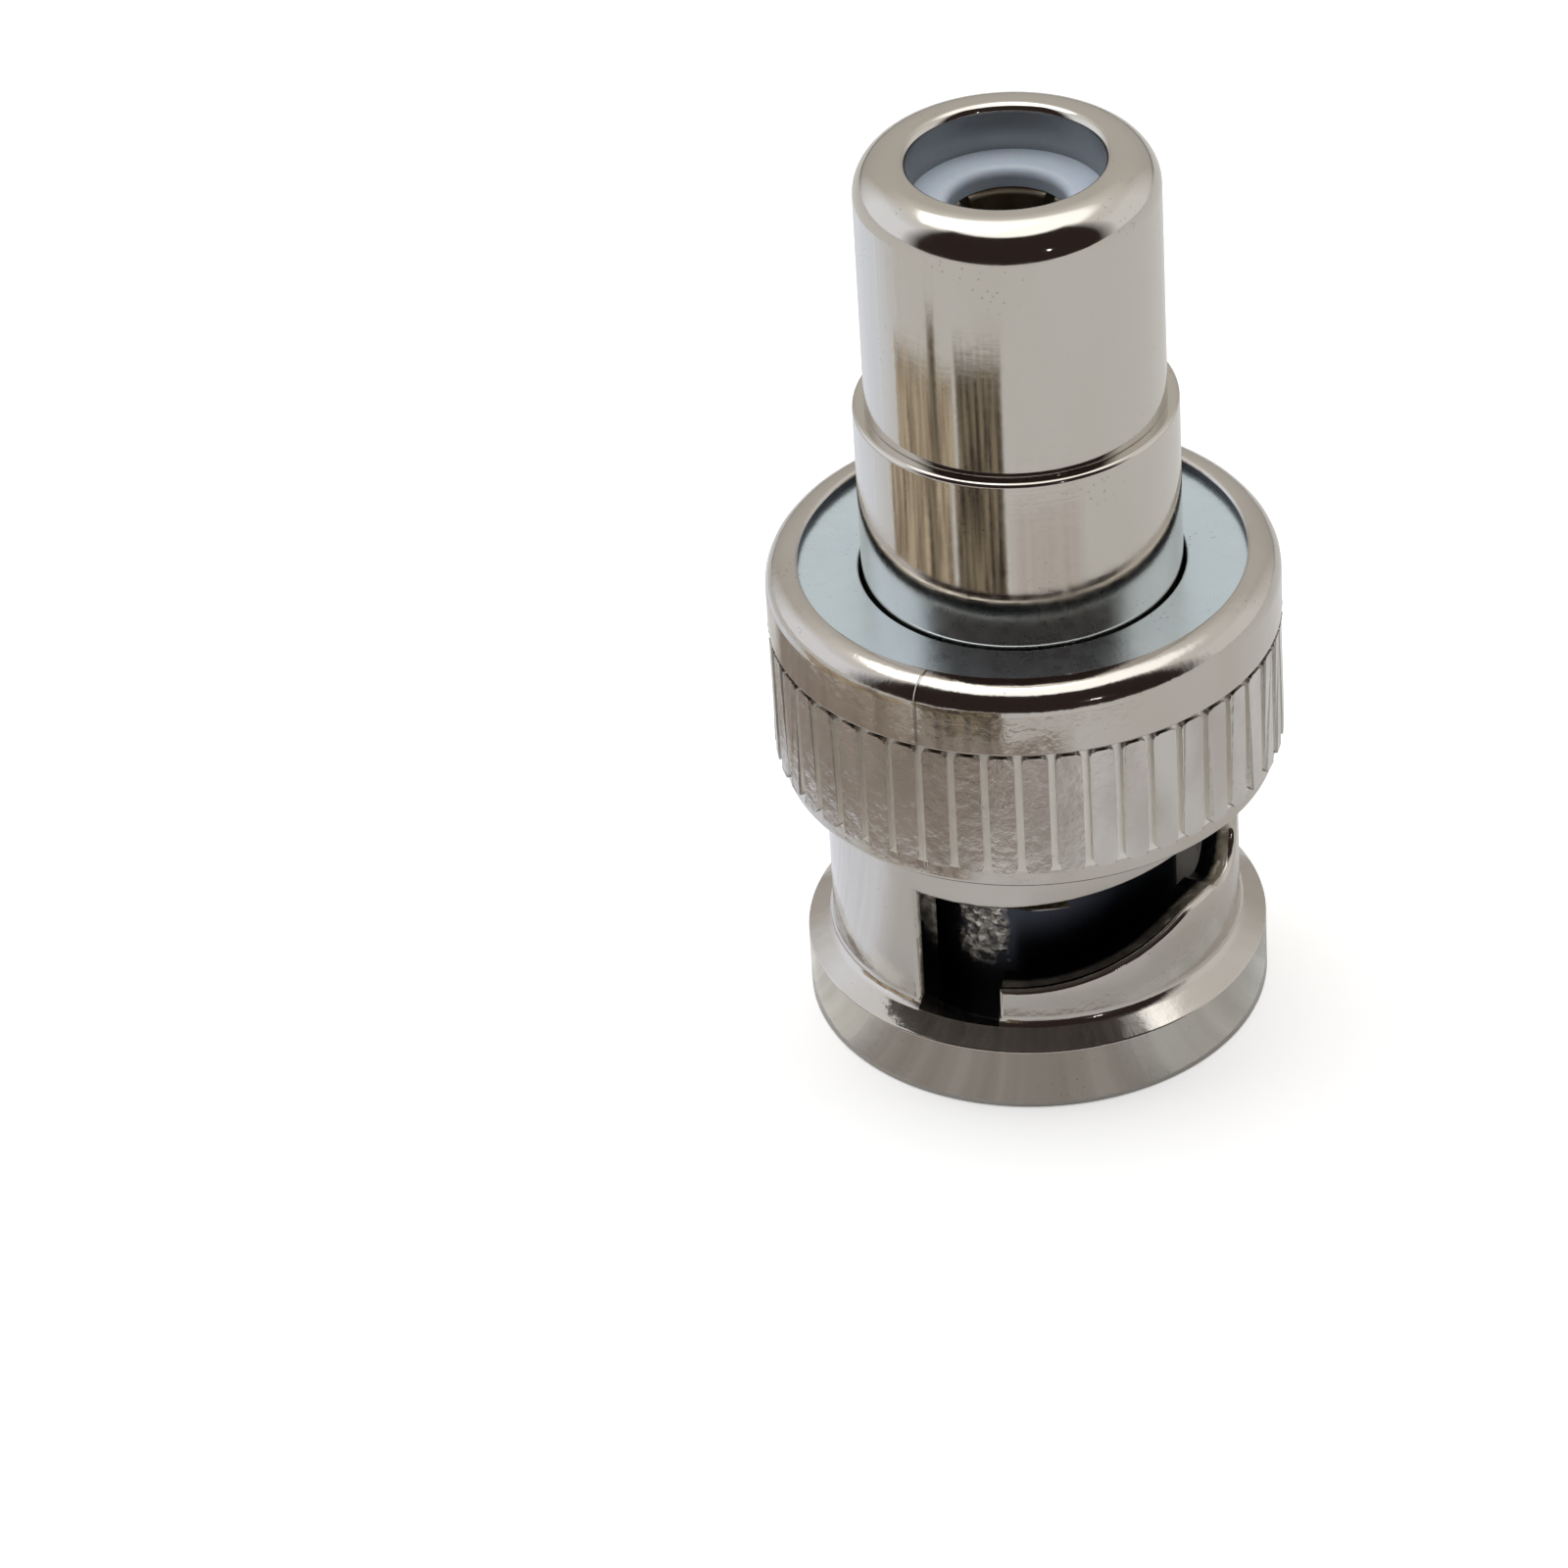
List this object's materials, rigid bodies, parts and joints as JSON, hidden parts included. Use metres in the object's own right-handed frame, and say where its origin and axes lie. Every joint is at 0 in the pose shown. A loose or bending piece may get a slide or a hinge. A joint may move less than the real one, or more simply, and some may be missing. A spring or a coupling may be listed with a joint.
{
  "type": "coaxial adapter",
  "caption": "Straight adapter with a bayonet coaxial plug at one end and a round phono jack at the other; the knurled sleeve turns and slides on a spring.",
  "frame": {"origin": "centre of the plug's mouth, on the plane of its rim", "axes": "+Z along the adapter's axis, from the bayonet plug to the phono jack; -Y faces the side where one bayonet slot starts"},
  "size_m": [0.0144, 0.0144, 0.0271],
  "materials": {
    "cast_nickel": "nickel plate over a die casting, smooth on the turned faces and grainy on the ribs",
    "turned_nickel": "bright nickel plate over turned brass",
    "zinc_plate": "clear passivated zinc plate, slightly blue",
    "spring_steel": "plain spring steel",
    "red_rubber": "moulded silicone",
    "white_plastic": "semi-gloss moulded plastic, slightly blue",
    "gold_plate": "gold flash over turned brass",
    "bare_brass": "turned brass"
  },
  "bodies": {
    "main": {"body": "turned_nickel", "jack_shell": "turned_nickel", "outer_contact": "turned_nickel", "gasket": "red_rubber", "plug_insulator": "white_plastic", "jack_insulator": "white_plastic", "centre_pin": "gold_plate", "socket_contact": "bare_brass"},
    "spring_stack": {"thrust_washer": "spring_steel", "wave_spring": "spring_steel"},
    "coupling": {"coupling_sleeve": "cast_nickel", "retaining_washer": "zinc_plate"}
  },
  "joints": [
    {"name": "coupling_turn", "type": "hinge", "parent": "main", "child": "spring_stack", "pos_m": [0, 0, 0.0118], "axis": [0, 0, 1], "continuous": true},
    {"name": "coupling_slide", "type": "slide", "parent": "spring_stack", "child": "coupling", "axis": [0, 0, -1], "range_m": [0, 0.0012], "stiffness_N_per_m": 4000, "springref_m": -0.0008, "deforming": ["wave_spring"]}
  ]
}
